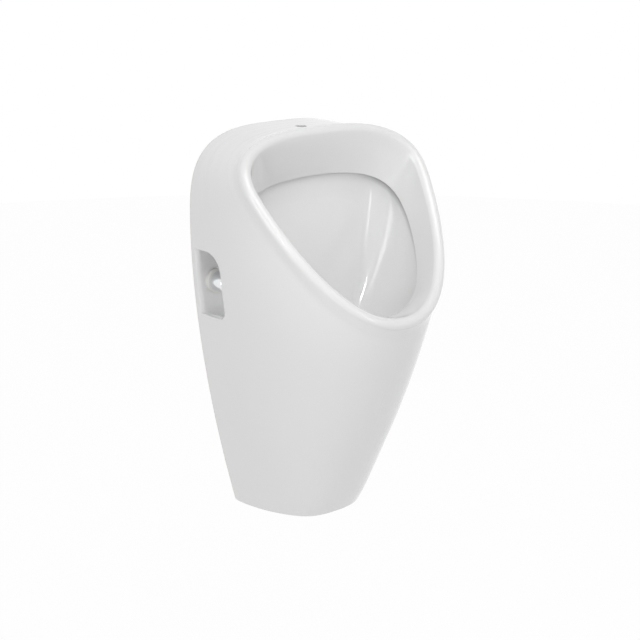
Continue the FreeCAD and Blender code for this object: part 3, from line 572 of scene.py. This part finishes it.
class URINAL_OT_studio(bpy.types.Operator):
    """Floor, light and camera"""
    bl_idname = "urinal.studio"
    bl_label = "Studio"

    def floor(self, settings):
        """Pale floor that keeps the shadow and shows nearly white to the camera."""
        nothing_selected()
        height = MODEL_BOX[0][2] - settings.floor_drop
        bpy.ops.mesh.primitive_circle_add(vertices=96, radius=settings.floor_size / 2, fill_type="NGON",
                                          location=(0, 0, height))
        plane = bpy.context.object
        plane.name = "studio_floor"
        finish = Finish("studio_floor")
        finish.surface(Base_Color=FLOOR_GREY, Roughness=0.9)
        glow = finish.node("ShaderNodeEmission", None, {"Color": WHITE, "Strength": 1.0})
        mix = finish.node("ShaderNodeMixShader", None, {
            0: finish.seen("Camera", "Glossy", "Transmission") * FLOOR_WHITE,
            1: finish.shader.outputs[0], 2: glow.outputs[0]})
        finish.tree.links.new(mix.outputs[0], finish.tree.nodes["Material Output"].inputs[0])
        plane.data.materials.append(finish.material)

    def lamps(self, settings):
        """Lamps above the front, on the left and upright in front, a beam, and two in the hollow."""
        for name, (place, size, setting) in AREA_LAMPS.items():
            panel = lamp("AREA", name, place, getattr(settings, setting))
            panel.data.shape = "RECTANGLE"
            panel.data.size, panel.data.size_y = size
            aimed(panel, LAMP_AIM)
        beam = lamp("SPOT", "bowl_lamp", BEAM_PLACE, settings.bowl)
        beam.data.spot_size = math.radians(settings.beam)
        beam.data.spot_blend = 1.0
        beam.data.shadow_soft_size = BEAM_RADIUS
        aimed(beam, BEAM_AIM)
        across, *rest = INNER_PLACE
        for side in (-1, 1):
            inner = lamp("POINT", f"opening_lamp_{side}", (side * across, *rest), settings.inner)
            inner.data.shadow_soft_size = INNER_RADIUS

    def world(self, context, settings):
        """Even light, with white where the camera or a reflection sees it."""
        world = bpy.data.worlds.new("studio_world")
        context.scene.world = world
        world.use_nodes = True
        nodes = Nodes(world.node_tree)
        seen = nodes.seen("Camera", "Glossy", "Transmission")
        nodes.feed(world.node_tree.nodes["Background"], {
            "Color": WHITE, "Strength": seen * (1.0 - settings.ambient) + settings.ambient})

    def camera(self, context, settings):
        """Camera at the photograph's angle."""
        nothing_selected()
        bpy.ops.object.camera_add(location=CAMERA_PLACE)
        camera = bpy.context.object
        aimed(camera, CAMERA_AIM)
        camera.data.lens = settings.lens
        camera.data.sensor_width = SENSOR_WIDTH
        context.scene.camera = camera

    def execute(self, context):
        settings = context.scene.urinal_studio
        self.floor(settings)
        self.lamps(settings)
        self.world(context, settings)
        self.camera(context, settings)
        context.scene.view_settings.view_transform = "Standard"
        return {"FINISHED"}


STEPS = (URINAL_OT_ceramic, URINAL_OT_fixings, URINAL_OT_waste, URINAL_OT_trap, URINAL_OT_inlet,
         URINAL_OT_studio)


class URINAL_PT_panel(bpy.types.Panel):
    """Sidebar panel with the pieces and their settings"""
    bl_idname = "URINAL_PT_panel"
    bl_label = "Wall hung urinal"
    bl_space_type = "VIEW_3D"
    bl_region_type = "UI"
    bl_category = "Urinal"

    def draw(self, context):
        scene = context.scene
        for group in (scene.urinal_finishes, scene.urinal_details, scene.urinal_studio):
            for key in group.__annotations__:
                self.layout.prop(group, key)
        for step in STEPS:
            self.layout.operator(step.bl_idname)


CLASSES = (UrinalFinishes, UrinalDetails, UrinalStudio, *STEPS, URINAL_PT_panel)


def register():
    """Adds the classes and the settings."""
    for item in CLASSES:
        bpy.utils.register_class(item)
    bpy.types.Scene.urinal_finishes = PointerProperty(type=UrinalFinishes)
    bpy.types.Scene.urinal_details = PointerProperty(type=UrinalDetails)
    bpy.types.Scene.urinal_studio = PointerProperty(type=UrinalStudio)


def unregister():
    """Takes the settings and the classes away."""
    del bpy.types.Scene.urinal_studio
    del bpy.types.Scene.urinal_details
    del bpy.types.Scene.urinal_finishes
    for item in reversed(CLASSES):
        bpy.utils.unregister_class(item)


def main():
    """Builds every piece and the studio."""
    register()
    bpy.ops.urinal.ceramic()
    bpy.ops.urinal.fixings()
    bpy.ops.urinal.waste()
    bpy.ops.urinal.trap()
    bpy.ops.urinal.inlet()
    bpy.ops.urinal.studio()
    bpy.context.view_layer.update()


if __name__ == "__main__":
    main()
